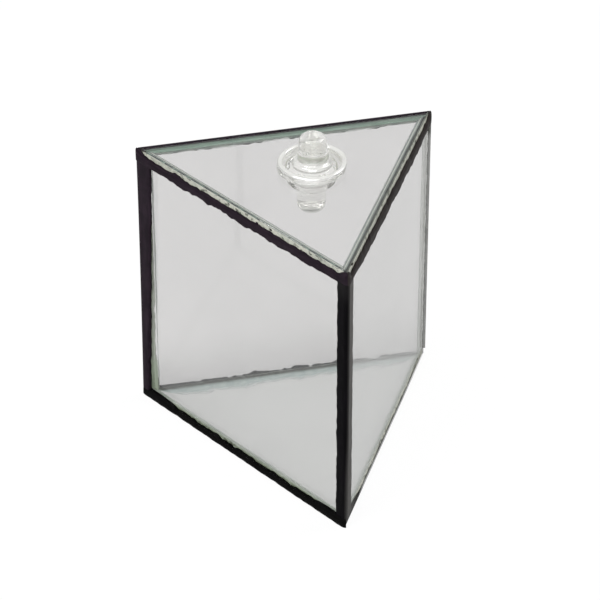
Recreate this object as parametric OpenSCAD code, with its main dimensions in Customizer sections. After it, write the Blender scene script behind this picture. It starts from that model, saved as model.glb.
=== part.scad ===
// Hollow prism for liquids: sheet glass cemented into a three-sided cell,
// sealed with black bands along every edge and closed by a clear stopper.
// The base lies on z = 0 about its centroid, and the front corner points to -Y.

/* [Cell] */
// Side of the triangle, measured outside on the glass
side = 75; // [60:1:110]
// Height of the three windows
window_h = 72; // [45:1:110]

/* [Glass] */
// Thickness of the three windows
window_t = 2; // [1.5:0.1:4]
// Thickness of the base plate
base_t = 2; // [1.5:0.1:4]
// Thickness of the top plate
top_t = 2; // [1.5:0.1:4]

/* [Clear cement] */
// Film of cement in every joint
film_t = 0.2; // [0.1:0.05:0.4]
// Leg of the fillet inside each upright corner
corner_fillet = 1.2; // [0.6:0.1:3]
// Leg of the fillet round the inside of both plates
plate_fillet = 1; // [0.5:0.1:2]

/* [Black bands] */
// Thickness of the upright bands
corner_band_t = 0.8; // [0.4:0.1:1.5]
// Thickness of the bands round the top
top_band_t = 0.8; // [0.4:0.1:1.5]
// Thickness of the bands round the base
base_band_t = 1.3; // [0.4:0.1:1.8]
// Thickness of the right base band, which is worn
worn_band_t = 0.35; // [0.3:0.05:1]
// Reach of the top bands down the windows
top_band_lap = 1.5; // [0.4:0.1:3]
// Reach of the base bands up the windows at the corners
base_band_lap = 0.4; // [0.3:0.1:3]
// Height of the left base band between its ends
left_base_h = 1.6; // [1.2:0.1:5]
// Height of the back base band between its ends
back_base_h = 2.2; // [1.2:0.1:5]
// Height of the worn right base band between its ends
worn_base_h = 1; // [0.8:0.1:3]
// Edge of the top plate left bare above the left and right top bands
bare_h = 1.4; // [0.4:0.1:1.8]
// Lip of the back top band over the arris of the top plate
lip_w = 0.8; // [0.4:0.1:1.2]
// Rise of that lip above the top plate
lip_h = 0.25; // [0.1:0.05:0.35]
// Width of the left upright band at the top
left_band_top_w = 5.2; // [3:0.1:6]
// Width of the left upright band at the bottom
left_band_low_w = 1.8; // [1:0.1:5.5]
// Width of the front upright band on either face
front_band_w = 2.9; // [1.5:0.1:5.5]
// Width of the right upright band, and of the left one round the back
narrow_band_w = 0.9; // [0.7:0.1:3]
// Swing of the brushed edges either way
brush_swing = 0.35; // [0:0.05:0.5]

/* [Filling hole] */
// Diameter of the drilled hole
hole_d = 12.4; // [9:0.1:13.5]
// Place of the hole to the right of the centroid
hole_x = 2.4; // [-4:0.1:4]
// Place of the hole behind the centroid
hole_y = 3; // [-4:0.1:4]
// Ground bevel on both rims of the hole
hole_bevel = 0.3; // [0.1:0.05:0.6]

/* [Stopper] */
// Radial room between the plug and the hole
plug_room = 0.06; // [0.02:0.01:0.1]
// Length of the part of the plug that fills the hole
plug_l = 4.6; // [3:0.1:9]
// Height of the taper under it
taper_h = 2; // [0.8:0.1:3]
// Diameter of the nose below the taper
nose_d = 7.6; // [5:0.1:7.8]
// Diameter of the nose at its end
nose_end_d = 7; // [4:0.1:7.8]
// Length of the nose below the taper
nose_l = 6.4; // [3:0.1:10]
// Rounding of the nose's end
nose_r = 0.8; // [0.3:0.1:1.5]
// Diameter of the flange
flange_d = 17.3; // [16:0.1:22]
// Thickness of the dished floor of the flange
flange_t = 0.9; // [0.6:0.1:2]
// Height of the raised rim above that floor
rim_h = 1.2; // [0.3:0.1:2]
// Width of the raised rim
rim_w = 1.4; // [0.8:0.1:2]
// Diameter of the boss in the middle of the dish
boss_d = 10.6; // [10.2:0.1:11.4]
// Height of the boss above the dish
boss_h = 1.4; // [0.6:0.1:3]
// Diameter of the foot of the knob
foot_d = 9.4; // [8:0.1:10.2]
// Diameter of the knob just above its foot
knob_low_d = 7.5; // [5.5:0.1:7.8]
// Diameter of the knob at the top
knob_top_d = 6.6; // [5.2:0.1:7.8]
// Height of the knob above the boss
knob_h = 6.9; // [4:0.1:12]
// Rounding of the knob's top
knob_r = 2.4; // [0.5:0.1:2.5]

/* [Hidden] */
$fn = 96;

// The sides are turned copies of the back one, counted anticlockwise from above
BACK = 0;
LEFT = BACK + 1;
RIGHT = LEFT + 1;
turn = 360 / 3;
half_turn = turn / 2;
half_corner = 90 - half_turn;
right_corner = half_corner;
left_corner = right_corner + turn;
front_corner = left_corner + turn;

inradius = side / 2 / tan(half_turn);
circumradius = inradius / cos(half_turn);
inner_r = inradius - window_t;
window_z = base_t + film_t;
height = window_z + window_h + film_t + top_t;

// Upright bands reach from the base bands to the top bands
base_band_h = base_t + base_band_lap;
top_band_h = top_t + top_band_lap;
upright_z = base_band_h;
upright_h = height - base_band_h - top_band_h;

// A brushed edge is a sum of waves: length in mm and share of the swing
brush_waves = [[11, 0.5], [4.3, 0.3], [2.7, 0.2]];
brush_step = 1.4;
// Angle that sets one band's waves apart from the next
brush_shift = 77;
// Straight stretch of a band where an upright band stands on it, and run-out beyond
seat_l = max(left_band_top_w, left_band_low_w, front_band_w, narrow_band_w) + 2 * brush_swing;
fade_l = 9;
// Long enough to cut right through the cell
reach = circumradius + height;
// Straight pieces in a quarter of a fillet or rounding
arc_n = 6;

plug_d = hole_d - 2 * plug_room;
plug_bottom = -plug_l - taper_h - nose_l;
boss_z = flange_t + boss_h;
knob_z = boss_z + knob_h;
// Fillet between the knob and its foot
foot_fillet = (foot_d - knob_low_d) / 2;
// Rounding of the rim of the flange
rim_r = min(rim_w / 2, rim_h);
rim_z = flange_t + rim_h;

function arc(c, r, a0, a1, n = arc_n) =
    [for (i = [0:n]) let (a = a0 + (a1 - a0) * i / n) c + r * [cos(a), sin(a)]];

function brushed(u, seed) = brush_swing * sum([for (w = brush_waves)
    w[1] * sin(360 * u / w[0] + seed * brush_shift * w[0])]);
function sum(v, i = 0) = i < len(v) ? v[i] + sum(v, i + 1) : 0;

// 0 on the seats at both ends of a band, 1 along its middle
function away(x, half) =
    let (t = min(1, max(0, (half - abs(x) - seat_l) / fade_l))) t * t * (3 - 2 * t);

module triangle(r)
    polygon([for (a = [right_corner, left_corner, front_corner])
        r / cos(half_turn) * [cos(a), sin(a)]]);

module on_side(k) rotate(turn * k) children();

// What lies on one side of the cell, cut on the mitres at both ends
module mitred() intersection() {
    children();
    translate([0, 0, -reach / 2])
        linear_extrude(2 * reach)
            polygon([[0, 0], reach * [cos(half_corner), sin(half_corner)],
                     reach * [-cos(half_corner), sin(half_corner)]]);
}

// A section in y and z, run along the back side
module run(section)
    translate([-reach, 0, 0]) rotate([90, 0, 90]) linear_extrude(2 * reach) polygon(section);

// An outline in x and z, laid on the outside of the back side, twice as thick as it ends up
module laid_on(t)
    translate([0, inradius + 2 * t, 0]) rotate([90, 0, 0]) linear_extrude(2 * t) children();

// What stands no more than t off the glass, with blunt corners
module trimmed(t) intersection() {
    children();
    linear_extrude(reach)
        polygon([for (a = [right_corner, left_corner, front_corner], way = [-1, 1])
            (circumradius + t) * [cos(a), sin(a)]
            + way * t * tan(half_corner) * [-sin(a), cos(a)]]);
}

module window() color("lightcyan")
    translate([0, 0, window_z]) linear_extrude(window_h)
        polygon([[-side / 2 + film_t, inradius], [side / 2 - film_t, inradius],
                 [inner_r * tan(half_turn) - film_t, inner_r],
                 [film_t - inner_r * tan(half_turn), inner_r]]);

module back_window() on_side(BACK) window();
module left_window() on_side(LEFT) window();
module right_window() on_side(RIGHT) window();

module base_plate() color("lightcyan") linear_extrude(base_t) triangle(inradius);

module top_plate() color("lightcyan") difference() {
    translate([0, 0, height - top_t]) linear_extrude(top_t) triangle(inradius);
    translate([hole_x, hole_y, height - top_t]) filling_hole();
}

// The cut runs past both faces, and each bevel is a cone half in and half out of the glass
module filling_hole() {
    mouth_d = hole_d + 4 * hole_bevel;
    translate([0, 0, -top_t]) cylinder(d = hole_d, h = 3 * top_t);
    translate([0, 0, top_t - hole_bevel]) cylinder(d1 = hole_d, d2 = mouth_d, h = 2 * hole_bevel);
    translate([0, 0, -hole_bevel]) cylinder(d1 = mouth_d, d2 = hole_d, h = 2 * hole_bevel);
}

// Clear cement under or over the windows, with its fillet inside the cell
module plate_joint() {
    difference() {
        linear_extrude(film_t) triangle(inradius);
        inside_fillet();
    }
    plate_joint_fillet();
}

module plate_joint_fillet() difference() {
    linear_extrude(plate_fillet) triangle(inner_r);
    inside_fillet();
}

// The space that the three fillets leave, through the plate's face and past their tops
module inside_fillet() intersection_for (k = [BACK, LEFT, RIGHT]) on_side(k)
    run(concat([[-reach, -plate_fillet], [inner_r - plate_fillet, -plate_fillet]],
               arc([inner_r - plate_fillet, plate_fillet], plate_fillet, -90, 0),
               [[inner_r, 2 * plate_fillet], [-reach, 2 * plate_fillet]]));

module at_base() translate([0, 0, base_t]) children();
module at_top() translate([0, 0, height - top_t]) mirror([0, 0, 1]) children();

module base_cement() color("honeydew") at_base() plate_joint();
module top_cement() color("honeydew") at_top() plate_joint();

// Clear cement in a mitre, with its fillet inside the cell; x runs out along the corner
module corner_cement(angle) color("honeydew") difference() {
    rotate(angle) translate([circumradius, 0, window_z]) linear_extrude(window_h)
        corner_cement_section();
    at_base() plate_joint_fillet();
    at_top() plate_joint_fillet();
}

module corner_cement_section() {
    film_x = film_t / 2 / tan(half_corner);
    inner_x = -window_t / sin(half_corner);
    centre_x = inner_x - corner_fillet / cos(half_corner);
    polygon(concat(
        [[0, 0], [-film_x, -film_t / 2], [inner_x - film_x, -film_t / 2]],
        arc([centre_x, 0], corner_fillet * tan(half_corner), -half_turn, half_turn),
        [[inner_x - film_x, film_t / 2], [-film_x, film_t / 2]]));
}

module left_corner_cement() corner_cement(left_corner);
module front_corner_cement() corner_cement(front_corner);
module right_corner_cement() corner_cement(right_corner);

// A band along one side, from z = 0 to a brushed edge; where a strip at z = 0 stays bare, that
// edge is brushed as well
module band(t, seat_h, middle_h, seed, bare = 0) {
    half = (inradius + t) * tan(half_turn);
    n = ceil(2 * half / brush_step);
    xs = [for (i = [0:n]) half - 2 * half * i / n];
    laid_on(t) polygon(concat(
        bare == 0 ? [[-half, 0], [half, 0]]
            : [for (x = xs) [-x, away(x, side / 2) * (bare + brushed(-x, 2 * seed) / 2)]],
        [for (x = xs) [x, seat_h + away(x, side / 2) * (middle_h - seat_h + brushed(x, seed))]]));
}

module base_band(k, t, middle_h) color("black")
    on_side(k) trimmed(t) mitred() band(t, base_band_h, middle_h, k);

// Bands that hang down the sides from the top
module top_band(k, bare) translate([0, 0, height]) mirror([0, 0, 1])
    band(top_band_t, top_band_h, top_band_h, k + 3, bare);

module front_top_band(k) color("black")
    on_side(k) trimmed(top_band_t) mitred() top_band(k, bare_h);

// The back one laps over the top plate with a lip
module top_back_band() color("black") on_side(BACK) trimmed(top_band_t) mitred() {
    top_band(BACK, 0);
    run([[inradius - lip_w, height], [inradius, height], [inradius, height - top_band_t],
         [inradius + 2 * top_band_t, height - top_band_t],
         [inradius + top_band_t - lip_h, height + lip_h],
         [inradius - lip_w + lip_h, height + lip_h]]);
}

module top_left_band() front_top_band(LEFT);
module top_right_band() front_top_band(RIGHT);
module base_left_band() base_band(LEFT, base_band_t, left_base_h);
module base_right_band() base_band(RIGHT, worn_band_t, worn_base_h);
module base_back_band() base_band(BACK, base_band_t, back_base_h);

// One leg of an upright band, run past the corner to be trimmed; way is the end that it wraps
module leg(t, way, low_w, top_w, seed) {
    n = ceil(upright_h / brush_step);
    laid_on(t) polygon(concat(
        [[way * side, upright_z + upright_h], [way * side, upright_z]],
        [for (i = [0:n]) let (z = upright_h * i / n)
            [way * (side / 2 - low_w - (top_w - low_w) * z / upright_h - brushed(z, seed)),
             upright_z + z]]));
}

module left_corner_band() color("black") trimmed(corner_band_t) {
    on_side(LEFT) leg(corner_band_t, 1, left_band_low_w, left_band_top_w, 6);
    on_side(BACK) leg(corner_band_t, -1, narrow_band_w, narrow_band_w, 7);
}

module front_corner_band() color("black") trimmed(corner_band_t) {
    on_side(LEFT) leg(corner_band_t, -1, front_band_w, front_band_w, 8);
    on_side(RIGHT) leg(corner_band_t, 1, front_band_w, front_band_w, 9);
}

module right_corner_band() color("black") trimmed(corner_band_t) {
    on_side(RIGHT) leg(corner_band_t, -1, narrow_band_w, narrow_band_w, 10);
    on_side(BACK) leg(corner_band_t, 1, narrow_band_w, narrow_band_w, 11);
}

// Turned section from the end of the nose out over the flange and up to the knob
module stopper() color("white")
    translate([hole_x, hole_y, height]) rotate_extrude()
        polygon(concat(
            [[0, plug_bottom]],
            arc([nose_end_d / 2 - nose_r, plug_bottom + nose_r], nose_r, -90, 0),
            [[nose_d / 2, -plug_l - taper_h], [plug_d / 2, -plug_l], [plug_d / 2, 0],
             [flange_d / 2, 0]],
            arc([flange_d / 2 - rim_r, rim_z - rim_r], rim_r, 0, 90),
            arc([flange_d / 2 - rim_w + rim_r, rim_z - rim_r], rim_r, 90, 180),
            [[flange_d / 2 - rim_w, flange_t], [boss_d / 2, flange_t]],
            arc([foot_d / 2, boss_z + foot_fillet], foot_fillet, 270, 180),
            arc([knob_top_d / 2 - knob_r, knob_z - knob_r], knob_r, 0, 90),
            [[0, knob_z]]));

base_plate();
top_plate();
left_window();
right_window();
back_window();
base_cement();
top_cement();
left_corner_cement();
front_corner_cement();
right_corner_cement();
left_corner_band();
front_corner_band();
right_corner_band();
top_left_band();
top_right_band();
top_back_band();
base_left_band();
base_right_band();
base_back_band();
stopper();
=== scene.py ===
from math import cos, exp, pi, radians, sin, sqrt, tan, tanh

import bmesh
import bpy
from mathutils import Matrix, Vector, noise


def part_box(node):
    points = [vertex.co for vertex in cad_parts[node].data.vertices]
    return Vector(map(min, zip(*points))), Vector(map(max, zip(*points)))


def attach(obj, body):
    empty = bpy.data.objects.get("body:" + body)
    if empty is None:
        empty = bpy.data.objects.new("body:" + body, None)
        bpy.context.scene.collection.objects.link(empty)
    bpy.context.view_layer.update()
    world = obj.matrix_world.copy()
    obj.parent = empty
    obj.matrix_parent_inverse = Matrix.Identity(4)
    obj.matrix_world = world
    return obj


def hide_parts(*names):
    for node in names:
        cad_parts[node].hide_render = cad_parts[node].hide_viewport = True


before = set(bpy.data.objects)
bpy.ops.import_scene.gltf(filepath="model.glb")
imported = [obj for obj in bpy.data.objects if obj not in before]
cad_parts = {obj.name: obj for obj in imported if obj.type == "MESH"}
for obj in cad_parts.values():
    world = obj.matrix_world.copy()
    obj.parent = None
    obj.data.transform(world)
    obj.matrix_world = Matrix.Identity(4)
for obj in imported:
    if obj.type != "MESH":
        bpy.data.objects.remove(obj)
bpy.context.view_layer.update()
scene = bpy.context.scene
scene.view_settings.view_transform = "Standard"
mm = 0.001
print("frame loaded:", len(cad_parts), "nodes")

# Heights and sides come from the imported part, in mm
sideLength = (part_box("base_plate")[1].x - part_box("base_plate")[0].x) / mm
halfSide = sideLength / 2
inradius = halfSide / sqrt(3)
circumradius = 2 * inradius
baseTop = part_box("base_plate")[1].z / mm
plateLow, plateTop = (corner.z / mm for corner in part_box("top_plate"))
windowLow, windowTop = (corner.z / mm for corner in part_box("left_window"))
windowThick = (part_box("back_window")[1].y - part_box("back_window")[0].y) / mm
innerRadius = inradius - windowThick
uprightLow, uprightTop = (corner.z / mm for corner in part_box("left_corner_band"))
back, left, right = 0, 1, 2  # sides, each turned a third from the one before
rightCorner, leftCorner, frontCorner = 30, 150, 270  # degrees round the axis
clearance = 0.02  # air between faces that touch, so that glass renders cleanly
fillingHole = {"place": (2.4, 3.0), "radius": 6.2, "bevel": 0.3, "facets": 96}

# Brush marks lie along a piece, in mm, and round its section, from 0 to sectionEnd
sectionEnd = 6.0
sideStep = 90  # from the middle of one side to the next, along a joint that runs all round


# Shader maths

class Wire:
    # one socket, so that values add and multiply as they read
    def __init__(self, tree, socket=None):
        self.tree, self.socket = tree, socket

    def node(self, kind, settings=None, sockets=None, out=0):
        made = self.tree.nodes.new("ShaderNode" + kind)
        for name, value in (settings or {}).items():
            setattr(made, name, value)
        for name, value in (sockets or {}).items():
            if isinstance(value, Wire):
                self.tree.links.new(value.socket, made.inputs[name])
            else:
                made.inputs[name].default_value = value
        return Wire(self.tree, made.outputs[out] if len(made.outputs) else None)

    def maths(self, operation, *terms):
        return self.node("Math", {"operation": operation}, dict(enumerate(terms)))

    def __add__(self, other):
        return self.maths("ADD", self, other)

    def __sub__(self, other):
        return self.maths("SUBTRACT", self, other)

    def __rsub__(self, other):
        return self.maths("SUBTRACT", other, self)

    def __mul__(self, other):
        return self.maths("MULTIPLY", self, other)

    __radd__, __rmul__ = __add__, __mul__

    def between(self, low, high):  # 0 below low, 1 above high
        return self.node("MapRange", {"interpolation_type": "SMOOTHSTEP"},
                         {"Value": self, "From Min": low, "From Max": high})

    def within(self, start, end):  # rises over start and falls over end
        return self.between(*start) * (1 - self.between(*end))

    def span(self, low, high):  # 0 gives low, 1 gives high
        return low + (high - low) * self

    def blend(self, first, second):  # this value mixes two colours
        first, second = (c if isinstance(c, Wire) else (*c, 1) for c in (first, second))
        return self.node("Mix", {"data_type": "RGBA"}, {0: self, 6: first, 7: second}, out=2)


def freshTree(owner):
    owner.use_nodes = True
    owner.node_tree.nodes.clear()
    return Wire(owner.node_tree)


def freshFinish(name):
    material = bpy.data.materials.new(name)
    return material, freshTree(material)


def finished(material, surface):
    surface.node("OutputMaterial", {}, {"Surface": surface})
    return material


def grain(tree, scale, detail):
    # noise over the piece, with its scale for each metre
    where = tree.node("TexCoord", out="Object")
    return tree.node("TexNoise", {}, {"Vector": where, "Scale": scale, "Detail": detail})


def patchy(tree, scale, detail, start, end):
    return grain(tree, scale, detail).between(start, end)


def brushGrain(tree, along, across, detail):
    # noise drawn out with the brush, with its scales along the piece and round its section
    marks = tree.node("UVMap", {"uv_map": "brush"})
    where = tree.node("VectorMath", {"operation": "MULTIPLY"}, {0: marks, 1: (along, across, 1.0)})
    return tree.node("TexNoise", {}, {"Vector": where, "Scale": 1.0, "Detail": detail})


def brushPlace(tree, axis):
    # X is the place along the piece, Y the one round its section
    return tree.node("SeparateXYZ", {}, {0: tree.node("UVMap", {"uv_map": "brush"})}, out=axis)


def bump(tree, height, depth, strength):
    return tree.node("Bump", {}, {"Strength": strength, "Distance": depth * mm, "Height": height})


def letLightThrough(tree, shader, tint):
    # light on its way to a dull surface goes straight through, so that what stands behind glass is lit
    for kind in ("Diffuse", "Shadow"):
        ray = tree.node("LightPath", out="Is " + kind + " Ray")
        passing = tree.node("BsdfTransparent", {}, {"Color": (*tint, 1)})
        shader = tree.node("MixShader", {}, {0: ray, 1: shader, 2: passing})
    return shader


def whiteRays(tree, glossy=1.0):
    # how far a ray sees plain white: wholly from the camera and through glass, by a share in reflections
    seen, through, mirrored = (tree.node("LightPath", out="Is " + kind + " Ray")
                               for kind in ("Camera", "Transmission", "Glossy"))
    return tree.maths("MAXIMUM", tree.maths("MAXIMUM", seen, through), glossy * mirrored)


# Camera, floor and light

cameraSpec = {
    "place": (-0.13884, -0.591896, 0.469916),
    "azimuth": -13.0849, "elevation": 35.3453, "roll": -0.1493,
    "lens": 176.77, "sensor": 36, "clip": (0.01, 20),
}
studio = {
    "floorSize": 6.0, "floorDrop": 0.05 * mm,
    "floorGlow": 0.93, "floorPaint": 0.1, "floorBounce": 0.7, "floorMirrored": 0.3,
    "roomLight": 0.55,
    "lamps": [  # name, place, size, power
        ("softboxLeft", (-0.75, -0.35, 0.95), 0.7, 5.5),
        ("softboxRight", (0.8, 0.15, 0.8), 0.5, 3.0),
        ("softboxFront", (-0.25, -1.0, 0.35), 0.8, 2.3),
    ],
    "aim": (0, 0, 0.03),
    # light goes down the whole height of a window by reflections
    "bounces": 48, "glassBounces": 40, "clearBounces": 32,
}


def placeCamera(spec):
    az, el, roll = (radians(spec[k]) for k in ("azimuth", "elevation", "roll"))
    level = Vector((cos(az), sin(az), 0))
    behind = Vector((sin(az) * cos(el), -cos(az) * cos(el), sin(el)))
    upright = behind.cross(level)
    across = cos(roll) * level + sin(roll) * upright
    up = cos(roll) * upright - sin(roll) * level
    camera = bpy.data.objects.new("camera", bpy.data.cameras.new("camera"))
    camera.data.lens, camera.data.sensor_width = spec["lens"], spec["sensor"]
    camera.data.clip_start, camera.data.clip_end = spec["clip"]
    turn = Matrix((across, up, behind)).transposed().to_4x4()
    camera.matrix_world = Matrix.Translation(spec["place"]) @ turn
    scene.collection.objects.link(camera)
    scene.camera = camera


def layFloor(spec):
    half, drop = spec["floorSize"] / 2, spec["floorDrop"]
    corners = [(x, y, -drop) for x, y in ((-half, -half), (half, -half), (half, half), (-half, half))]
    mesh = bpy.data.meshes.new("floor")
    mesh.from_pydata(corners, [], [(0, 1, 2, 3)])
    floor = bpy.data.objects.new("floor", mesh)
    scene.collection.objects.link(floor)
    paint, tree = freshFinish("palePaper")
    plain, shaded = (tree.node("BsdfDiffuse", {}, {"Color": (spec[key],) * 3 + (1,)})
                     for key in ("floorBounce", "floorPaint"))
    glow = tree.node("Emission", {}, {"Strength": spec["floorGlow"]})
    shown = tree.node("AddShader", {}, {0: shaded, 1: glow})
    seen = whiteRays(tree, spec["floorMirrored"])
    mesh.materials.append(finished(paint, tree.node("MixShader", {}, {0: seen, 1: plain, 2: shown})))


def lightRoom(spec):
    world = bpy.data.worlds.new("room")
    scene.world = world
    tree = freshTree(world)
    strength = whiteRays(tree).span(spec["roomLight"], 1)
    tree.node("OutputWorld", {}, {"Surface": tree.node("Background", {}, {"Strength": strength})})
    for name, place, size, power in spec["lamps"]:
        lamp = bpy.data.objects.new(name, bpy.data.lights.new(name, "AREA"))
        lamp.data.shape, lamp.data.size, lamp.data.energy = "SQUARE", size, power
        lamp.location = place
        lamp.rotation_euler = (Vector(spec["aim"]) - Vector(place)).to_track_quat("-Z", "Y").to_euler()
        scene.collection.objects.link(lamp)
    cycles = scene.cycles
    cycles.max_bounces = spec["bounces"]
    cycles.glossy_bounces = cycles.transmission_bounces = spec["glassBounces"]
    cycles.transparent_max_bounces = spec["clearBounces"]
    cycles.caustics_reflective = cycles.caustics_refractive = False


placeCamera(cameraSpec)
layFloor(studio)
lightRoom(studio)
print("camera, floor and light set")


# Glass finishes
# A grain is its scale and detail, a range its start and end, and patches are all four of these;
# a bump is its depth in mm and its strength

sheetLook = {
    # the tints differ by place: the base's darker tint is painted shade, for the floor's shadow under it, and
    # the right window's darker tint is painted shade, for its darker reflection at a grazing angle
    "tints": {  # clean and smeared
        "Top": ((0.816, 0.811, 0.809), (0.792, 0.787, 0.785)),
        "Base": ((0.747, 0.755, 0.744), (0.729, 0.736, 0.725)),
        "Back": ((0.816, 0.811, 0.809), (0.792, 0.787, 0.785)),
        "Left": ((0.805, 0.801, 0.799), (0.781, 0.777, 0.775)),
        "Right": ((0.722, 0.719, 0.715), (0.70, 0.697, 0.693))},
    "smearAndShade": (38, 4, 0.35, 0.75), "smearRough": 0.012,
    "lowDarkening": {"Back": 0.2, "Left": 0.03, "Right": 0.06},  # share by which the tint darkens low down
    "darkeningTop": 20, "darkeningGrain": (90, 3), "darkeningShare": (0.7, 1.3),
    "waveGrain": (55, 1), "waveBump": (0.012, 1.0),
    "ior": 1.52, "passing": (0.86, 0.87, 0.865),
}
groundLook = {
    "kinds": {  # plain and chipped tint, and the share of light let through
        "groundEdge": ((0.81, 0.81, 0.70), (0.61, 0.64, 0.54), 0.25),
        # a darker copy of the ground edge, for the base's left edge above the black
        "darkGroundEdge": ((0.32, 0.37, 0.27), (0.21, 0.25, 0.18), 0.1),
        # painted shade, on the top plate's right top arris and the lower bevel of its hole
        "paintedShadeArris": ((0.16, 0.18, 0.15), (0.08, 0.09, 0.07), 0.1)},
    "chipGrain": (520, 3), "chipRange": (0.4, 0.7), "chipBump": (0.08, 0.5),
    "rough": (0.35, 0.65), "ior": 1.52,
    "fleckTint": (0.045, 0.05, 0.03), "fleckCover": 0.85,
    "flecks": (800, 2, 0.55, 0.61), "fleckPatches": (90, 2, 0.42, 0.55),
    "drilledTints": ((0.93, 0.94, 0.88), (0.80, 0.82, 0.75)), "drilledCover": (0.4, 1.0),
}
jointTints = ((0.72, 0.77, 0.69), (0.55, 0.61, 0.54))
sealedLook = {"grain": (190, 3), "range": (0.35, 0.7), "cover": (0.004, 0.022), "rough": 0.5}


def sheetGlass(place):
    # faintly wavy and smeared, and darker low down on a window
    spec = sheetLook
    clean, smeared = spec["tints"][place]
    material, tree = freshFinish("sheetGlass" + place)
    smearAndShade = patchy(tree, *spec["smearAndShade"])
    colour = smearAndShade.blend(clean, smeared)
    if place in spec["lowDarkening"]:
        height = tree.node("SeparateXYZ", {}, {0: tree.node("TexCoord", out="Object")}, out="Z")
        patches = grain(tree, *spec["darkeningGrain"]).span(*spec["darkeningShare"])
        darkenedLow = (1 - height.between(0.0, spec["darkeningTop"] * mm)) * patches
        colour = darkenedLow.blend(colour, [(1 - spec["lowDarkening"][place]) * channel for channel in smeared])
    wave = bump(tree, grain(tree, *spec["waveGrain"]), *spec["waveBump"])
    pane = tree.node("BsdfPrincipled", {}, {
        "Base Color": colour, "Roughness": spec["smearRough"] * smearAndShade,
        "IOR": spec["ior"], "Transmission Weight": 1.0, "Normal": wave})
    return finished(material, letLightThrough(tree, pane, spec["passing"]))


def sealedGlass():
    # glass in contact with cement or black: no boundary is left, only a little haze
    spec = sealedLook
    material, tree = freshFinish("sealedGlass")
    cloud = grain(tree, *spec["grain"])
    return finished(material, tree.node("BsdfPrincipled", {}, {
        "Base Color": cloud.between(*spec["range"]).blend(*jointTints), "Roughness": spec["rough"],
        "Alpha": cloud.span(*spec["cover"])}))


def groundGlass(name):
    # glass ground by hand, as on the edges of the plates, with flecks of dirt and black
    spec = groundLook
    plain, chipped, through = spec["kinds"][name]
    material, tree = freshFinish(name)
    chips = grain(tree, *spec["chipGrain"])
    flecks = patchy(tree, *spec["flecks"]) * patchy(tree, *spec["fleckPatches"])
    colour = chips.between(*spec["chipRange"]).blend(plain, chipped)
    return finished(material, tree.node("BsdfPrincipled", {}, {
        "Base Color": (spec["fleckCover"] * flecks).blend(colour, spec["fleckTint"]),
        "Roughness": chips.span(*spec["rough"]), "IOR": spec["ior"], "Transmission Weight": through,
        "Normal": bump(tree, chips, *spec["chipBump"])}))


def drilledWall():
    # the plug fills the hole, so little of the wall is seen
    spec = groundLook
    material, tree = freshFinish("drilledWall")
    chips = grain(tree, *spec["chipGrain"])
    return finished(material, tree.node("BsdfPrincipled", {}, {
        "Base Color": chips.between(*spec["chipRange"]).blend(*spec["drilledTints"]),
        "Roughness": chips.span(*spec["rough"]), "Alpha": chips.span(*spec["drilledCover"])}))


clear, sealed, ground, drilled, darkGround, arrisShade = range(6)  # slots of a glass piece
sharedGlass = [sealedGlass(), groundGlass("groundEdge"), drilledWall(),
               groundGlass("darkGroundEdge"), groundGlass("paintedShadeArris")]
glassFinishes = {place: [sheetGlass(place)] + sharedGlass for place in sheetLook["tints"]}
print("glass finishes made")


# Cement finishes, where a grain of the brush is its scale along, its scale across and its detail

filmLook = {
    "joints": {  # least and most cover, and tints
        "top": (0.12, 0.9, ((0.55, 0.61, 0.59), (0.36, 0.42, 0.41))),
        "topBack": (0.3, 0.8, ((0.42, 0.62, 0.49), (0.34, 0.51, 0.41))),
        "base": (0.5, 0.9, jointTints), "baseBack": (0.2, 0.5, jointTints),
        "left": (0.6, 0.95, ((0.56, 0.61, 0.50), (0.45, 0.50, 0.40))),
        "front": (0.45, 0.85, ((0.49, 0.53, 0.45), (0.37, 0.41, 0.34))),
        # the right joint's near-white tint is painted light, for a film that the bands shade
        "right": (0.5, 0.9, ((0.95, 0.95, 0.91), (0.80, 0.81, 0.77)))},
    "cloud": (160, 3, 0.3, 0.75), "rough": 0.4,
    "lines": (0.05, 2.6, 2), "fineLines": (0.05, 4.2, 2), "lineRange": (0.4, 0.6),
    "backEnd": (41.0, 49.0), "rightStart": (128.0, 142.0),  # along a joint that runs all round
    # edgeTint is the tint of the painted shade along a film's edges
    "edgeTint": (0.02, 0.024, 0.02),
}
edgeLightLines = {  # places round the section of a painted shade line and a painted light line
    "shadeLine": (5.17, 5.4), "lightLine": ((4.58, 4.64), (4.8, 4.88)), "cover": 0.95,
    "lightTint": (0.88, 0.90, 0.83), "rightShift": 0.2,  # the light line lies further out on the right side
}
lightenedFilm = {"reach": 1.2, "least": 0.25, "innerTint": (0.66, 0.67, 0.63)}
runFilm = {
    "runTop": (10.5, 13.0), "runTint": (0.47, 0.55, 0.41),  # heights between which the run ends
    "reach": 1.5, "rimFrom": (0.85, 0.94), "rimShade": 0.4,  # shares of the way in from the outer edge
    "bareFrom": (0.93, 0.985), "bareCover": 0.15,
    "wobbleGrain": (0.2, 0.0, 2), "wobble": (-0.15, 0.15),
    "grows": (20.0, 45.0), "growth": 0.12,  # heights between which the film reaches further in
}
beadLook = {
    "tints": ((0.44, 0.53, 0.47), (0.60, 0.66, 0.58)), "backTints": ((0.44, 0.60, 0.57), (0.58, 0.72, 0.69)),
    "cloudGrain": (240, 3), "cloudRange": (0.35, 0.7), "cover": (0.35, 0.85), "rough": (0.12, 0.42),
    "lumpGrain": (420, 2), "lumpBump": (0.12, 0.6), "ior": 1.5,
    "foot": (3.4, 5.6), "footCover": 0.15,  # round the section, from the window down to the plate
    "shadeEnd": (1.6, 3.6), "shadeTint": (0.085, 0.095, 0.08), "shadeCover": 0.9,
}


def pastBack(tree):
    return brushPlace(tree, "X").between(*filmLook["backEnd"])


def inwards(tree, reach):
    # on both broad faces of a corner's film, from 0 at the outer edge to 1 at this reach round the section
    across, face = brushPlace(tree, "Y"), sectionEnd / 4
    return across.between(face, face + reach) * (1 - across.between(sectionEnd - reach, sectionEnd))


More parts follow.
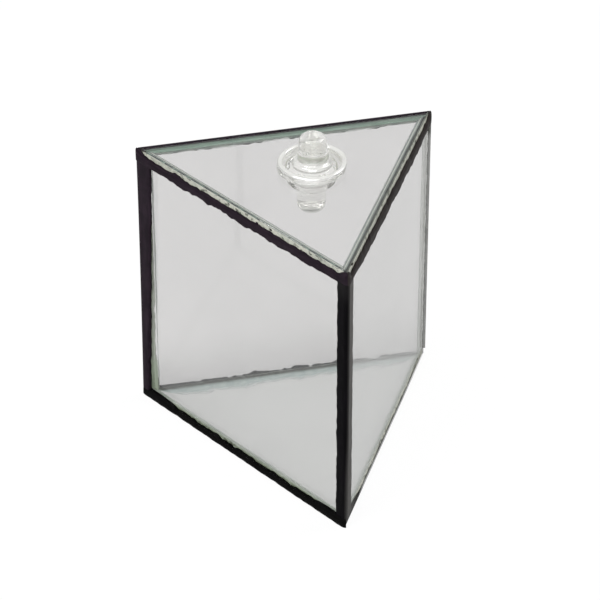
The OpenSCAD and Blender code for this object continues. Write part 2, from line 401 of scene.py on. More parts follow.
def edgeShadeAndLight(tree, cover, colour):
    # painted shade: a dark line along the outside of the front joints, and painted light: a pale line further
    # in
    spec, inFront, across = edgeLightLines, pastBack(tree), brushPlace(tree, "Y")
    dark = inFront * across.between(*spec["shadeLine"])
    onRight = brushPlace(tree, "X").between(*filmLook["rightStart"])
    pale = inFront * (across - spec["rightShift"] * onRight).within(*spec["lightLine"])
    colour = dark.blend(pale.blend(colour, spec["lightTint"]), filmLook["edgeTint"])
    return (dark + pale).span(cover, spec["cover"]), colour


def lightenedOutside(tree, cover, colour):
    # painted light: the cover thins towards the outside of the corner, so that the glass behind lightens the
    # film where the bands shade it, and the tint is darker inside
    spec, inside = lightenedFilm, inwards(tree, lightenedFilm["reach"])
    return cover * inside.span(spec["least"], 1), inside.blend(colour, spec["innerTint"])


def runAtFoot(tree, cover, colour):
    # stops short of the inside with a dark rim, but for a run at the foot
    spec, height = runFilm, brushPlace(tree, "X")
    aboveRun = height.between(*spec["runTop"])
    wobble = brushGrain(tree, *spec["wobbleGrain"]).span(*spec["wobble"])
    inside = inwards(tree, spec["reach"]) + wobble - spec["growth"] * height.between(*spec["grows"])
    bare = aboveRun * inside.between(*spec["bareFrom"])
    rim = aboveRun * inside.between(*spec["rimFrom"])
    colour = (spec["rimShade"] * rim).blend(colour, filmLook["edgeTint"])
    return cover * bare.span(1, spec["bareCover"]), aboveRun.blend(spec["runTint"], colour)


def cementFilm(name, joint, behind=None, lines="lines", detail=None):
    # cloudy, with fine lines along the joint where it was pressed out; behind is the joint at the back,
    # and detail changes the cover and the colour of one film
    spec = filmLook
    material, tree = freshFinish(name)
    cloud = patchy(tree, *spec["cloud"])
    line = brushGrain(tree, *spec[lines]).between(*spec["lineRange"])
    least, most, tints = spec["joints"][joint]
    cover, colour = line.span(least, most), cloud.blend(*tints)
    if behind:
        least, most, tints = spec["joints"][behind]
        inFront = pastBack(tree)
        cover = inFront.span(line.span(least, most), cover)
        colour = inFront.blend(cloud.blend(*tints), colour)
    if detail:
        cover, colour = detail(tree, cover, colour)
    return finished(material, tree.node("BsdfPrincipled", {}, {
        "Base Color": colour, "Roughness": spec["rough"], "Alpha": cover}))


def cementBead(name, shaded=False):
    # milky cement, thinning out at the foot; at the back of the base it is pale, but shaded by the band
    spec = beadLook
    material, tree = freshFinish(name)
    cloud, across = grain(tree, *spec["cloudGrain"]), brushPlace(tree, "Y")
    milky = cloud.between(*spec["cloudRange"])
    cover = across.between(*spec["foot"]).span(1, spec["footCover"]) * cloud.span(*spec["cover"])
    colour = milky.blend(*spec["tints"])
    if shaded:
        behind = 1 - pastBack(tree)
        shade = behind * (1 - across.between(*spec["shadeEnd"]))
        colour = shade.blend(behind.blend(colour, milky.blend(*spec["backTints"])), spec["shadeTint"])
        cover = shade.span(cover, spec["shadeCover"])
    lumps = bump(tree, grain(tree, *spec["lumpGrain"]), *spec["lumpBump"])
    return finished(material, tree.node("BsdfPrincipled", {}, {
        "Base Color": colour, "Roughness": cloud.span(*spec["rough"]), "IOR": spec["ior"],
        "Alpha": cover, "Normal": lumps}))


plainBead = cementBead("cementBead")
topCement = [cementFilm("cementFilmTop", "top", "topBack", "fineLines", edgeShadeAndLight), plainBead]
baseCement = [cementFilm("cementFilmBase", "base", "baseBack"), cementBead("cementBeadBase", True)]
leftCement = [cementFilm("cementFilmLeft", "left", detail=runAtFoot), plainBead]
frontCement = [cementFilm("cementFilmCorner", "front"), plainBead]
rightCement = [cementFilm("cementFilmRight", "right", detail=lightenedOutside), plainBead]
print("cement finishes made")


# Black finishes

sealLook = {
    "tints": {  # in the hollows of the strokes and on their ridges
        "plain": ((0.013, 0.0082, 0.013), (0.030, 0.0195, 0.029)),
        # the top right band's lighter tint is a painted sheen
        "topRight": ((0.022, 0.018, 0.018), (0.046, 0.039, 0.037)),
        "front": ((0.0012, 0.001, 0.0016), (0.004, 0.0032, 0.0048)),
        "base": ((0.0006, 0.0006, 0.0006), (0.003, 0.0028, 0.0026)),
        "worn": ((0.15, 0.15, 0.14), (0.31, 0.31, 0.29))},
    # the grey of a painted sheen
    "sheenTint": (0.122, 0.118, 0.113),
    "streakGrain": (0.09, 1.5, 3), "lumpGrain": (420, 3),
    "relief": (0.7, 0.5), "shade": (0.6, 0.4),  # shares of the streaks and of the lumps
    "reliefBump": (0.12, 0.45), "shadeRange": (0.36, 0.68),
    "rough": (0.35, 0.75), "ior": 1.5,
}
# the front upright's entry and the base's right end give a painted sheen, the others wear
wearAndSheen = {  # places along a piece, in mm, the face round its section, and shares of black or grey
    "rightUpright": {"bulge": (uprightTop - 4.5, uprightTop - 1.5),
                     "least": 0.42, "streaks": 0.4, "whole": 0.4},
    "frontUpright": {"low": (6.0, 34.0), "lowReach": 0.3, "face": (2.3, 3.35), "streaks": (0.7, 1.2),
                     "high": (uprightTop - 7, uprightTop), "highSheen": 0.08},
    "baseRight": {"front": (20.0, 30.0), "far": (-36.0, -14.0), "farShare": 0.3,
                  "least": 0.1, "streaks": 0.55, "whole": 0.75},
    "baseRightSheen": {"end": (24.0, 32.0), "streaks": (0.3, 0.8)},
    "baseBack": {"end": (29.0, 35.0), "streaks": (0.95, 0.45)},
}


def wornUpright(tree, streak):
    # rubbed off but for a bulge under the top band
    spec = wearAndSheen["rightUpright"]
    bulge = brushPlace(tree, "X").between(*spec["bulge"])
    return spec["least"] + spec["streaks"] * streak + spec["whole"] * bulge


def legSheen(tree, streak):
    # painted sheen: the front upright is grey on the right face, lower down over its nose and a little at the
    # top
    spec, height = wearAndSheen["frontUpright"], brushPlace(tree, "X")
    low, high = 1 - height.between(*spec["low"]), height.between(*spec["high"])
    face = (brushPlace(tree, "Y") + spec["lowReach"] * low).between(*spec["face"])
    return face * streak.span(*spec["streaks"]) + spec["highSheen"] * high


def wornBase(tree, streak):
    # whole by the front corner, and less and less towards the right one
    spec, along = wearAndSheen["baseRight"], brushPlace(tree, "X")
    kept = spec["least"] + spec["streaks"] * streak + spec["whole"] * along.between(*spec["front"])
    return along.between(*spec["far"]).span(spec["farShare"], 1) * kept


def endSheen(tree, streak):
    # painted sheen: what is left by the front corner is grey
    spec = wearAndSheen["baseRightSheen"]
    return brushPlace(tree, "X").between(*spec["end"]) * streak.span(*spec["streaks"])


def wornEnd(tree, streak):
    # the band at the back has worn thin by the right corner
    spec = wearAndSheen["baseBack"]
    return 1 - brushPlace(tree, "X").between(*spec["end"]) * streak.span(*spec["streaks"])


def blackSeal(name, tints, shine, cover=None, sheen=None):
    # brushed on, so that its streaks run along the band; cover gives how much of it is left,
    # and sheen where a painted sheen makes it grey
    spec = sealLook
    material, tree = freshFinish(name)
    streak, lump = brushGrain(tree, *spec["streakGrain"]), grain(tree, *spec["lumpGrain"])
    relief, shade = (a * streak + b * lump for a, b in (spec["relief"], spec["shade"]))
    colour = shade.between(*spec["shadeRange"]).blend(*spec["tints"][tints])
    if sheen:
        colour = sheen(tree, streak).blend(colour, spec["sheenTint"])
    return finished(material, tree.node("BsdfPrincipled", {}, {
        "Base Color": colour, "Roughness": lump.span(*spec["rough"]), "IOR": spec["ior"],
        "Specular IOR Level": shine, "Alpha": cover(tree, streak) if cover else 1.0,
        "Normal": bump(tree, relief, *spec["reliefBump"])}))


plainSeal = blackSeal("blackSeal", "plain", 0.06)
# the front upright and the base's right band take a painted sheen
frontSeal = blackSeal("blackSealFront", "front", 0.045, sheen=legSheen)
topRightSeal = blackSeal("blackSealTopRight", "topRight", 0.06)
baseSeal = blackSeal("blackSealBase", "base", 0.05)
baseBackSeal = blackSeal("blackSealBaseBack", "plain", 0.06, wornEnd)
wornUprightSeal = blackSeal("blackSealWorn", "worn", 0.2, wornUpright)
wornBaseSheenSeal = blackSeal("blackSealWornBaseSheen", "front", 0.1, wornBase, endSheen)
print("black finishes made")


# Plastic finishes, whose zones are distances from the stopper's axis and heights over the plate, in mm

mouldingLook = {
    "tints": ((1.0, 1.0, 0.985), (0.97, 0.97, 0.95)), "passing": (0.9, 0.9, 0.88),
    "haze": (220, 3, 0.35, 0.75), "rough": (0.02, 0.04), "ior": 1.3, "through": 0.97,
    "rippleGrain": (180, 1), "frostGrain": (2400, 1), "frostShare": 0.6, "frostBump": (0.035, 0.7),
    # painted shade, on the near side only: dark reflections by the shoulder, a shadow line under the rim and
    # a dark arc in the groove
    "nearSide": (-2.0, 0.5),
    "shoulder": {"aside": (3.9, 4.8), "height": ((-6.0, -4.9), (-4.6, -3.2)), "cover": 0.8},
    "rimShadow": {"height": ((-3.7, -3.45), (-3.05, -2.8)), "cover": 0.45},
    "groove": {"radius": (5.5, 5.8), "height": ((1.25, 1.35), (1.6, 1.75)), "cover": 0.7},
    "paintedShadeTint": (0.06, 0.063, 0.03), "shadeGrain": (400, 2), "shadeShare": (0.6, 1.1),
    "rim": (7.0, 7.6), "knob": (1.2, 2.2), "footEnd": (2.8, 4.6),
    # the milk is real at the rim; at the foot of the knob it is a painted highlight
    "milkAndHighlight": {"body": 0.04, "rim": 0.36, "knob": 0.05, "foot": 0.6}, "milkShare": (0.75, 1.15),
    "milkTint": (0.97, 0.97, 0.94), "milkRough": 0.06, "milkMetal": 0.6,
}
# the nose's end is a painted highlight
noseEnd = {"grain": (300, 3), "cover": (0.55, 0.95), "rough": 0.03, "metal": 0.9, "frostBump": (0.03, 0.7)}


def clearMoulding():
    # milky at the rim; the milk is partly metallic, a painted highlight, most of all at the foot of the knob;
    # painted shade on the near side: dark reflections either side of the plug's shoulder, a shadow line on
    # the plug under the rim and a dark arc in the groove round the collar
    spec = mouldingLook
    material, tree = freshFinish("clearMoulding")
    haze = patchy(tree, *spec["haze"])
    x, y = fillingHole["place"]
    place = tree.node("VectorMath", {"operation": "MULTIPLY_ADD"}, {
        0: tree.node("TexCoord", out="Object"), 1: (1 / mm,) * 3, 2: (-x, -y, -plateTop)})
    sideways, depth, height = (tree.node("SeparateXYZ", {}, {0: place}, out=axis) for axis in "XYZ")
    flat = tree.node("VectorMath", {"operation": "MULTIPLY"}, {0: place, 1: (1, 1, 0)})
    radius = tree.node("VectorMath", {"operation": "LENGTH"}, {0: flat}, out="Value")
    shoulder, rimShadow, groove = (spec[zone]["cover"] * height.within(*spec[zone]["height"])
                              for zone in ("shoulder", "rimShadow", "groove"))
    shoulder = shoulder * tree.maths("ABSOLUTE", sideways).between(*spec["shoulder"]["aside"])
    groove = groove * (1 - radius.between(*spec["groove"]["radius"]))
    patches = grain(tree, *spec["shadeGrain"]).span(*spec["shadeShare"])
    smearAndShade = (1 - depth.between(*spec["nearSide"])) * (shoulder + rimShadow + groove) * patches
    ripples, frost = grain(tree, *spec["rippleGrain"]), grain(tree, *spec["frostGrain"])
    skin = (1 - spec["frostShare"]) * ripples + spec["frostShare"] * frost
    skin = bump(tree, skin, *spec["frostBump"])
    plastic = tree.node("BsdfPrincipled", {}, {
        "Base Color": smearAndShade.blend(haze.blend(*spec["tints"]), spec["paintedShadeTint"]), "IOR": spec["ior"],
        "Roughness": haze.span(*spec["rough"]), "Transmission Weight": spec["through"], "Normal": skin})
    milkAndHighlight = tree.node("BsdfPrincipled", {}, {
        "Base Color": smearAndShade.blend(spec["milkTint"], spec["paintedShadeTint"]),
        "Roughness": spec["milkRough"], "Metallic": spec["milkMetal"], "Normal": skin})
    rim, knob = radius.between(*spec["rim"]), height.between(*spec["knob"])
    foot, shares = knob * (1 - height.between(*spec["footEnd"])), spec["milkAndHighlight"]
    share = shares["body"] + shares["rim"] * rim + shares["knob"] * knob + shares["foot"] * foot
    body = tree.node("MixShader", {}, {0: share * haze.span(*spec["milkShare"]), 1: plastic, 2: milkAndHighlight})
    return finished(material, letLightThrough(tree, body, spec["passing"]))


def noseEndHighlight():
    # painted highlight: the end of the nose is a nearly metallic white, so that it shines
    spec, moulding = noseEnd, mouldingLook
    material, tree = freshFinish("noseEndHighlight")
    frost = grain(tree, *moulding["frostGrain"])
    return finished(material, tree.node("BsdfPrincipled", {}, {
        "Base Color": (*moulding["milkTint"], 1), "Roughness": spec["rough"], "Metallic": spec["metal"],
        "Alpha": grain(tree, *spec["grain"]).span(*spec["cover"]),
        "Normal": bump(tree, frost, *spec["frostBump"])}))


plasticFinish = [clearMoulding(), noseEndHighlight()]
print("plastic finishes made")


# Mesh helpers, all in mm

def onSide(k, x, y, z):
    # a point drawn on the back side, turned to side k
    a = radians(120 * k)
    return Vector((x * cos(a) - y * sin(a), x * sin(a) + y * cos(a), z))


def onMitre(k, s, y, z):
    # a point on side k, at s from -1 to 1 between the mitres of its corners
    return onSide(k, s * y * sqrt(3), y, z)


def outwards(angle):
    return Vector((cos(radians(angle)), sin(radians(angle)), 0))


def wander(u, seed, length, depth=2):
    # smooth wandering from -1 to 1 along a length in mm
    return noise.fractal(Vector((u / length, 7.3 * seed + 0.5, 2.9 * seed)), 1.0, 2.0, depth)


def climb(u, start, end):
    # from 0 at start to 1 at end
    return min(1, max(0, (u - start) / (end - start)))


def loft(shape, rings, along=None, loop=False, slot=0, smooth=True):
    # skin from ring to ring with its brush marks; the two ends are closed, unless it runs all round
    rows = [[shape.verts.new(p * mm) for p in ring] for ring in rings]
    marks = shape.loops.layers.uv.verify()
    count = len(rings[0])
    along = along or list(range(len(rings)))
    across = [sectionEnd * n / count for n in range(count + 1)]
    pairs = list(zip(range(len(rows)), range(1, len(rows)))) + ([(len(rows) - 1, 0)] if loop else [])
    for i, j in pairs:
        start, end = along[i], along[j] if j else along[i] + 1
        for n in range(count):
            m = (n + 1) % count
            face = shape.faces.new((rows[i][n], rows[i][m], rows[j][m], rows[j][n]))
            face.material_index, face.smooth = slot, smooth
            places = ((start, across[n]), (start, across[n + 1]), (end, across[n + 1]), (end, across[n]))
            for corner, place in zip(face.loops, places):
                corner[marks].uv = place
    for i in () if loop else (0, -1):
        cap = shape.faces.new(rows[i])
        cap.material_index = slot
        for n, corner in enumerate(cap.loops):
            corner[marks].uv = (along[i], across[n])


def makePiece(name, shape, node, materials, body="cell"):
    shape.loops.layers.uv.verify()
    bmesh.ops.recalc_face_normals(shape, faces=shape.faces)
    mesh = bpy.data.meshes.new(name)
    shape.to_mesh(mesh)
    shape.free()
    mesh.uv_layers[0].name = "brush"
    for material in materials:
        mesh.materials.append(material)
    piece = bpy.data.objects.new(name, mesh)
    scene.collection.objects.link(piece)
    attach(piece, body)
    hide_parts(node)


# Glass

glass = {"arris": 0.12, "topArris": 0.25, "film": 0.2, "bare": 1.88, "painted": 1.25}
plateSides = (left, right, back)  # as the faces of a plate's edge follow each other


def trianglesAt(levels):
    # rings round the cell, each (distance in from the glass edge, height)
    rings = []
    for inset, z in levels:
        reach = 2 * (inradius - clearance - inset)
        rings.append([Vector((reach * cos(radians(a)), reach * sin(radians(a)), z))
                      for a in (leftCorner, frontCorner, rightCorner)])
    return rings


def wallFaces(shape, rings, slotOf, smooth=False):
    # faces from ring to ring; slotOf takes the step up and the face's number in the ring
    rows = [[shape.verts.new(p * mm) for p in ring] for ring in rings]
    for i, (a, b) in enumerate(zip(rows, rows[1:])):
        for n in range(len(a)):
            m = (n + 1) % len(a)
            face = shape.faces.new((a[n], a[m], b[m], b[n]))
            face.material_index, face.smooth = slotOf(i, n), smooth
    return rows


def makeBasePlate():
    shape = bmesh.new()
    cut, high = glass["arris"], baseTop
    levels = ((cut, 0), (0, cut), (0, glass["painted"]), (0, high - cut), (cut, high), (windowThick, high))

    def edgeSlot(step, n):
        # the edge on the left is painted low down and bare above, and the one on the right is bare
        if plateSides[n] == right and step < 4:
            return ground
        return darkGround if plateSides[n] == left and step in (2, 3) else sealed

    rows = wallFaces(shape, trianglesAt(levels), edgeSlot)
    shape.faces.new(rows[0])
    shape.faces.new(rows[-1])
    makePiece("basePlate", shape, "base_plate", glassFinishes["Base"])


def makeTopPlate():
    shape = bmesh.new()
    cut, topCut, low, high = glass["arris"], glass["topArris"], plateLow, plateTop
    levels = ((windowThick, low), (cut, low), (0, low + cut),
              (0, high - glass["bare"]), (0, high - topCut), (topCut, high))

    def edgeSlot(step, n):
        # the front edges are ground, and bare above the black bands
        if step < 3 or plateSides[n] == back:
            return sealed
        # the right top arris takes painted shade
        return ground if step == 3 else {left: clear, right: arrisShade}[plateSides[n]]

    outer = wallFaces(shape, trianglesAt(levels), edgeSlot)
    middle = Vector((*fillingHole["place"], 0))
    facets, radius, bevel = (fillingHole[k] for k in ("facets", "radius", "bevel"))
    turns = [2 * pi * i / facets for i in range(facets)]
    bore = ((radius + bevel, low), (radius, low + bevel), (radius, high - bevel), (radius + bevel, high))
    rings = [[middle + Vector((r * cos(a), r * sin(a), z)) for a in turns] for r, z in bore]
    # the lower bevel of the hole takes painted shade
    inner = wallFaces(shape, rings, lambda step, n: drilled if step else arrisShade, smooth=True)
    for end in (0, -1):
        rims = [shape.edges.get((row[n - 1], row[n]))
                for row in (outer[end], inner[end]) for n in range(len(row))]
        bmesh.ops.triangle_fill(shape, use_beauty=True, use_dissolve=False, edges=rims)
    makePiece("topPlate", shape, "top_plate", glassFinishes["Top"])


def makeWindow(name, k, node, materials):
    # mitred ends, top and bottom are cemented, and only the two faces stay clear
    shape = bmesh.new()
    film, inner = glass["film"], innerRadius * sqrt(3)
    outline = ((halfSide - film, inradius - clearance), (film - halfSide, inradius - clearance),
               (film - inner, innerRadius), (inner - film, innerRadius))
    rows = wallFaces(shape, [[onSide(k, x, y, z) for x, y in outline] for z in (windowLow, windowTop)],
                     lambda step, n: clear if n % 2 == 0 else sealed)
    for row in rows:
        shape.faces.new(row).material_index = sealed
    makePiece(name, shape, node, materials)


makeBasePlate()
makeTopPlate()
makeWindow("backWindow", back, "back_window", glassFinishes["Back"])
makeWindow("leftWindow", left, "left_window", glassFinishes["Left"])
makeWindow("rightWindow", right, "right_window", glassFinishes["Right"])
print("glass cut")


# Clear cement: films in the joints, and beads inside the cell

plateCement = {
    "stations": 150,  # along each side
    # foot on the plate and rise up the window, for each side
    "base": {left: (0.3, 0.12), right: (0.8, 0.4), back: (3.6, 0.8)},
    "top": {left: (0.12, 0.12), right: (0.12, 0.12), back: (1.4, 0.5)},
    "unevenness": 0.35, "waveLength": 6.0, "evenEnd": 1 / 6,  # share of half a side where it evens out
    "outerGap": 0.12, "arcSteps": 8,
}
cornerCement = {
    "stations": 160,
    # width low down and high up
    "leg": {leftCorner: (0.12, 0.55), frontCorner: (0.6, 0.6), rightCorner: (0.3, 0.3)},
    "grows": (15.0, 40.0),  # heights between which a leg widens
    "unevenness": 0.3, "waveLength": 9, "waveDepth": 3,
    "runs": {leftCorner: (8.5, 4.0, 0.25)},  # height, spread and width of the run at the foot
    "runBelow": 0.35,  # how much less it falls off below that height
    "filmEnds": (0.4, 0.05), "tipGap": 0.08, "endGap": 0.9, "arc": 120, "arcSteps": 10,  # arc in degrees
}


def makePlateCement(name, node, level, way, beads, seed, materials):
    # level is the plate's face, and way points into the cell
    spec = plateCement
    near, far, thick = innerRadius - clearance, inradius - spec["outerGap"], glass["film"] - clearance
    section = ((far, clearance), (far, thick), (near + clearance, thick), (near + clearance, clearance))
    filmRings, beadRings, along = [], [], []
    for k in (back, left, right):
        foot, rise = beads[k]
        for i in range(spec["stations"]):
            s = 1 - 2 * i / spec["stations"]
            u = s * halfSide + sideStep * k
            even = min(1, (1 - abs(s)) / spec["evenEnd"])
            swell = 1 + spec["unevenness"] * wander(u, seed, spec["waveLength"]) * even
            bead = [(near, clearance)]
            for n in range(spec["arcSteps"] + 1):  # hollow face, from the window down to the plate
                a = pi / 2 * n / spec["arcSteps"]
                bead.append((near - foot * swell * (1 - cos(a)),
                             max(clearance, rise * swell * (1 - sin(a)))))
            filmRings.append([onMitre(k, s, y, level + way * z) for y, z in section])
            beadRings.append([onMitre(k, s, y, level + way * z) for y, z in bead])
            along.append(u)
    shape = bmesh.new()
    loft(shape, filmRings, along, loop=True, smooth=False)
    loft(shape, beadRings, along, loop=True, slot=1)
    makePiece(name, shape, node, materials)


def makeCornerCement(name, angle, node, seed, materials):
    spec = cornerCement
    out = outwards(angle)
    sideways = Vector((-out.y, out.x, 0))
    inner, half = circumradius - 2 * windowThick, glass["film"] / 2 - clearance
    filmOut, filmIn = circumradius - spec["filmEnds"][0], inner + spec["filmEnds"][1]
    (thin, full), (start, end) = spec["leg"][angle], spec["grows"]
    low, high, gap = windowLow, windowTop, spec["endGap"]
    tip, steps = inner - spec["tipGap"], spec["arcSteps"]
    turns = [radians(spec["arc"] * (0.5 - n / steps)) for n in range(steps + 1)]

    def put(d, w, z):
        return out * d + sideways * w + Vector((0, 0, z))

    section = ((filmOut, half), (filmOut, -half), (filmIn, -half), (filmIn, half))
    rings, along = [], []
    for i in range(spec["stations"] + 1):
        z = low + gap + (high - low - 2 * gap) * i / spec["stations"]
        leg = thin + (full - thin) * climb(z, start, end)
        leg *= 1 + spec["unevenness"] * wander(z, seed, spec["waveLength"], spec["waveDepth"])
        if angle in spec["runs"]:
            place, spread, extra = spec["runs"][angle]
            leg += extra * exp(-((z - place) / spread) ** 2 * (1 if z > place else spec["runBelow"]))
        centre, radius = tip - leg / cos(pi / 6), leg * tan(pi / 6)
        hollow = [put(centre + radius * cos(a), radius * sin(a), z) for a in turns]
        rings.append([put(tip, 0, z)] + hollow)
        along.append(z)
    shape = bmesh.new()
    loft(shape, [[put(d, w, z) for d, w in section] for z in (low, high)], [low, high], smooth=False)
    loft(shape, rings, along, slot=1)
    makePiece(name, shape, node, materials)


makePlateCement("baseCement", "base_cement", baseTop, 1, plateCement["base"], 3, baseCement)
makePlateCement("topCement", "top_cement", plateLow, -1, plateCement["top"], 5, topCement)
makeCornerCement("leftCornerCement", leftCorner, "left_corner_cement", 11, leftCement)
makeCornerCement("frontCornerCement", frontCorner, "front_corner_cement", 12, frontCement)
makeCornerCement("rightCornerCement", rightCorner, "right_corner_cement", 13, rightCement)
print("cement run in")


# Black bands, brushed on by hand

brush = {
    "swing": 0.35, "waves": ((11, 0.5), (4.3, 0.3), (2.7, 0.2)), "shift": 77,
    "seat": 5.9, "fade": 9,  # plain ends where the uprights stand, and the run-out beyond
    "fray": 0.16, "frayLength": 1.3, "biteLength": 3.1, "biteFrom": 0.28, "biteDepth": 0.9,
    "step": 0.3, "noseStart": 0.08, "noseRoom": 0.1,
}
thickSeed, dabSeed, biteSeed, lipSeed, gapSeed = 20, 30, 40, 50, 9  # keep the draws of a band apart
edgeBand = {"thinning": (0.03, 6), "dab": (0.1, 3, 2.2)}  # share and length; share, slant and length
baseBand = {
    "bands": {  # side: height between the ends, thickness, seed
        left: (1.55, 1.3, 1), right: (1.0, 0.27, 2), back: (2.1, 1.3, 0)},
    "lumps": {back: ((-6.0, 1.6, 0.75), (4.0, 2.2, 0.5))},  # place along the band, spread and height
    "ragged": {left: 1.0, right: 1.0, back: 2.4},
    "worn": {back: (24.0, 33.0, 0.85)},  # from and to along the band, and the share of the thickness gone
    # share of the height and of the thickness, from the floor up
    "section": ((0, 0.95), (0.06, 1), (0.35, 1), (0.62, 0.98), (0.8, 0.9), (0.92, 0.72), (1, 0.42)),
}
topBand = {
    "thick": 0.8, "bare": {left: 1.45, right: 1.7, back: 0.0}, "drop": {left: 0.2, right: 0.85, back: 0.0},
    "bareSeat": 0.3, "bareFade": 3.0,  # run-out of the bare strip at the corners
    "section": ((0, 0.9), (0.04, 0.98), (0.12, 1), (0.5, 1), (0.74, 0.96), (0.9, 0.78), (1, 0.35)),
    "lip": {  # laps over the arris at the back
        "reach": 0.8, "rise": 0.12, "uneven": (0.25, 4, 3), "shoulder": 0.35, "turn": (0.1, 0.15),
        "crown": ((0, 1), (0.6, 0.9), (0.92, 0.55))},  # shares of the reach and of the rise
    "specks": {left: ((-6.3, 75.2, 0.34), (-11.2, 75.65, 0.3)), right: ((33.4, 76.2, 0.36),), back: ()},
    "speckOut": 0.05, "speckShape": (1.3, 0.6, 0.9),
}
uprightBand = {
    # corner: two legs, each (side, end of that side, low width, top width, seed), and thickness low and high
    "legs": {
        leftCorner: ((left, 1, 1.6, 5.03, 6), (back, -1, 0.9, 0.9, 7), 1.25, 0.6),
        frontCorner: ((left, -1, 2.78, 2.78, 8), (right, 1, 3.55, 3.55, 9), 0.8, 0.8),
        rightCorner: ((right, -1, 0.2, 0.2, 10), (back, 1, 0.6, 0.6, 11), 0.72, 0.68)},
    "section": ((0, 0.5), (0.05, 0.78), (0.13, 0.94), (0.28, 1), (0.55, 1), (0.8, 1), (0.93, 1)),
    "tuck": 0.3,  # run under the bands above and below
    "uneven": {leftCorner: 0.45, frontCorner: 0.45, rightCorner: 1.0},
    "taper": 1.75, "narrowest": 0.15, "noseOut": 0.55, "thinning": (0.04, 7), "dab": (0.06, 4, 3),
}


def brushed(u, seed):
    swing = sum(share * sin(2 * pi * u / length + radians(seed * brush["shift"] * length))
                for length, share in brush["waves"])
    return brush["swing"] * swing


def frayed(u, seed):
    # fine teeth of the brush, with a bite here and there
    fine = wander(u, seed, brush["frayLength"], 3)
    bite = max(0, wander(u, seed + biteSeed, brush["biteLength"]) - brush["biteFrom"])
    return brush["fray"] * fine - brush["biteDepth"] * bite


def thinned(u, seed, spec):
    share, length = spec["thinning"]
    return 1 - share + share * wander(u, seed + thickSeed, length)


def dabbed(u, place, seed, spec):
    # place is the share of the way across the band
    share, slant, length = spec["dab"]
    return 1 + share * wander(u + slant * place, seed + dabSeed + int(4 * place), length)


def awayFromEnds(u, seat, fade):
    t = climb(halfSide - abs(u), seat, seat + fade)
    return t * t * (3 - 2 * t)


def bluntNose(p, thick):
    # draws the sharp outer corner in to a rounded nose
    start, room = circumradius + brush["noseStart"], thick - brush["noseRoom"]
    for angle in (rightCorner, leftCorner, frontCorner):
        out = outwards(angle)
        over = p.dot(out) - start
        if over > 0:
            p = p + out * (room * tanh(over / room) - over)
    return p


def lipPoints(u, thick, high, seed, spec):
    # over the arris and back to it along the plate
    uneven, length, depth = spec["uneven"]
    reach, rise = spec["reach"] * (1 + uneven * wander(u, seed + lipSeed, length, depth)), spec["rise"]
    out, below = spec["turn"]
    crown = [(-across * reach, high + up * rise) for across, up in spec["crown"]]
    return [(out * thick, high - below)] + crown + [(-reach, high + clearance), (clearance, high + clearance)]


def bandRings(k, thick, edges, section, seed, lip=None):
    # rings along one side; edges(u) gives the low and high edge there, and the share of the thickness
    count = round(sideLength / brush["step"])
    rings, along = [], []
    for i in range(count + 1):
        s = 1 - 2 * i / count
        u = s * halfSide
        low, high, kept = edges(u)
        full = thick * kept * thinned(u, seed, edgeBand)
        rise = high - (lip["shoulder"] if lip else 0) - low
        points = []
        for share, depth in section:
            out = full * depth * dabbed(u, share, seed, edgeBand)
            points.append((max(clearance, min(thick, out)), low + rise * share))
        if lip:
            points += lipPoints(u, thick, high, seed, lip)
        points += [(clearance, high - clearance if lip else high), (clearance, low)]
        rings.append([bluntNose(onMitre(k, s, inradius + out, z), thick) for out, z in points])
        along.append(u)
    return rings, along


def makeBaseBand(name, k, node, finish):
    spec = baseBand
    middle, thick, seed = spec["bands"][k]
    start, end, gone = spec["worn"].get(k, (0, 1, 0))
    lumps = spec["lumps"].get(k, ())

    def edges(u):
        rise = middle - uprightLow + brushed(u, seed) + spec["ragged"][k] * frayed(u, seed)
        rise += sum(h * exp(-((u - place) / spread) ** 2) for place, spread, h in lumps)
        high = uprightLow + awayFromEnds(u, brush["seat"], brush["fade"]) * rise
        return 0.0, high, 1 - gone * climb(u, start, end)

    shape = bmesh.new()
    loft(shape, *bandRings(k, thick, edges, spec["section"], seed))
    makePiece(name, shape, node, [finish])


def makeTopBand(name, k, node, finish):
    spec = topBand
    bare, seed = spec["bare"][k], k + 3

    def edges(u):
        drop = spec["drop"][k] + brushed(u, seed) + frayed(u, seed)
        gap = bare + (brushed(-u, 2 * seed) / 2 + frayed(u, seed + gapSeed) if bare else 0)
        return (uprightTop - awayFromEnds(u, brush["seat"], brush["fade"]) * drop,
                plateTop - awayFromEnds(u, spec["bareSeat"], spec["bareFade"]) * gap, 1)

    shape = bmesh.new()
    loft(shape, *bandRings(k, spec["thick"], edges, spec["section"], seed, None if bare else spec["lip"]))
    turn = Matrix.Rotation(radians(120 * k), 4, "Z") @ Matrix.Diagonal((*spec["speckShape"], 1))
    for u, z, size in spec["specks"][k]:  # drops of the black on the bare edge
        place = Matrix.Translation(onSide(k, u, inradius + spec["speckOut"], z) * mm)
        bmesh.ops.create_icosphere(shape, subdivisions=2, radius=size * mm, matrix=place @ turn)
    makePiece(name, shape, node, [finish])


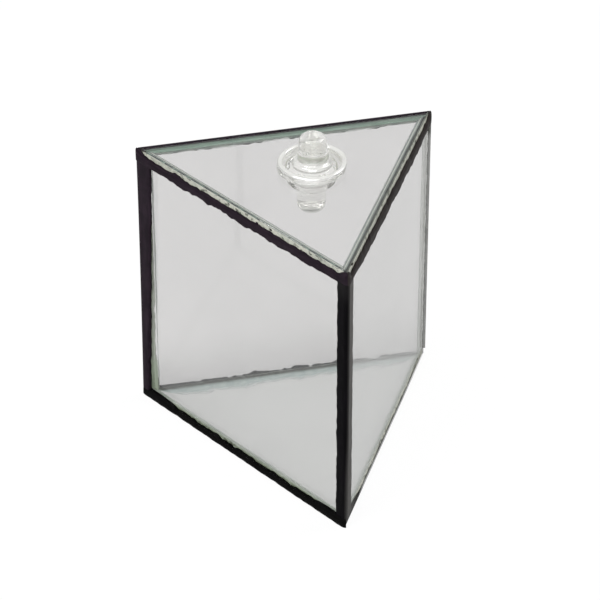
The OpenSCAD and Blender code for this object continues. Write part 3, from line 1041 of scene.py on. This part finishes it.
def makeUpright(name, angle, node, finish):
    spec = uprightBand
    first, second, lowThick, topThick = spec["legs"][angle]
    low, high = uprightLow - spec["tuck"], uprightTop + spec["tuck"]
    count = round((high - low) / brush["step"])
    corner = outwards(angle)
    rings, along = [], []
    for i in range(count + 1):
        share = i / count
        z = low + (high - low) * i / count
        thick = topThick + (lowThick - topThick) * (1 - share) ** spec["taper"]
        outside, inside = [], []
        for k, end, lowWidth, topWidth, seed in (first, second):
            uneven = spec["uneven"][angle] * (brushed(z - low, seed) + frayed(z, seed))
            width = max(spec["narrowest"], lowWidth + (topWidth - lowWidth) * share + uneven)
            full = thick * thinned(z, seed, spec)
            leg = []
            for place, rise in spec["section"]:
                out = full * rise * dabbed(z, place, seed, spec)
                leg.append((width * (1 - place), max(clearance, min(thick, out))))
            leg += [(-thick * spec["noseOut"], thick), (width, clearance)]
            leg = [bluntNose(onSide(k, end * (halfSide - inFromCorner), inradius + out, z), thick)
                   for inFromCorner, out in leg]
            outside.append(leg[:-1])
            inside.append(leg[-1])
        nose = corner * (circumradius + thick) + Vector((0, 0, z))
        seat = corner * (circumradius + 2 * clearance) + Vector((0, 0, z))
        rings.append(outside[0] + [nose] + outside[1][::-1] + [inside[1], seat, inside[0]])
        along.append(z)
    shape = bmesh.new()
    loft(shape, rings, along)
    makePiece(name, shape, node, [finish])


makeBaseBand("baseLeftBand", left, "base_left_band", baseSeal)
makeBaseBand("baseRightBand", right, "base_right_band", wornBaseSheenSeal)
makeBaseBand("baseBackBand", back, "base_back_band", baseBackSeal)
makeTopBand("topLeftBand", left, "top_left_band", plainSeal)
makeTopBand("topRightBand", right, "top_right_band", topRightSeal)
makeTopBand("topBackBand", back, "top_back_band", plainSeal)
makeUpright("leftUpright", leftCorner, "left_corner_band", plainSeal)
makeUpright("frontUpright", frontCorner, "front_corner_band", frontSeal)
makeUpright("rightUpright", rightCorner, "right_corner_band", wornUprightSeal)
print("bands brushed on")


# Stopper, turned about the hole's axis

stopper = {
    "facets": 128, "roundSteps": 6,
    "lean": 0.4, "leanOver": (0.9, 2.3),  # the knob sits a little to one side of the flange
    "end": 12.0,  # depth below which the nose takes the painted highlight of its end
    "section": (  # radius, height above the top plate, rounding
        (0.0, -13.0, 0), (3.5, -13.0, 1.6), (3.8, -6.6, 0.4), (6.1, -4.6, 0.3), (6.1, 0.05, 0.12),
        (8.63, 0.05, 0.25), (8.63, 2.1, 0.65), (7.25, 2.1, 0.65), (7.25, 0.9, 0.3), (5.3, 0.9, 0.3),
        (4.72, 2.3, 0.25), (3.95, 2.35, 0.7), (3.3, 9.2, 2.4), (0.0, 9.2, 0)),
}


def rounded(corners, steps):
    # a line in (radius, height) whose corners are rounded by their third value
    line = []
    for i, (r, z, rounding) in enumerate(corners):
        here = Vector((r, z))
        if not rounding:
            line.append(here)
            continue
        before, after = (Vector(corners[j][:2]) - here for j in (i - 1, i + 1))
        half = before.angle(after) / 2
        # takes under half of each straight
        reach = min(rounding / tan(half), before.length * 0.49, after.length * 0.49)
        start, end = here + before.normalized() * reach, here + after.normalized() * reach
        for n in range(steps + 1):
            t = n / steps
            line.append(start * (1 - t) ** 2 + here * 2 * t * (1 - t) + end * t ** 2)
    return line


def makeStopper(spec):
    x, y = fillingHole["place"]
    turns = [2 * pi * n / spec["facets"] for n in range(spec["facets"])]
    rings = []
    for radius, height in rounded(spec["section"], spec["roundSteps"])[1:-1]:
        middle = x + spec["lean"] * climb(height, *spec["leanOver"])
        rings.append([Vector((middle + radius * cos(a), y + radius * sin(a), plateTop + height))
                      for a in turns])
    shape = bmesh.new()
    loft(shape, rings)
    for face in shape.faces:
        if face.calc_center_median().z < (plateTop - spec["end"]) * mm:
            face.material_index = 1
    makePiece("stopper_clear", shape, "stopper", plasticFinish, body="stopper")


makeStopper(stopper)
print("stopper turned")
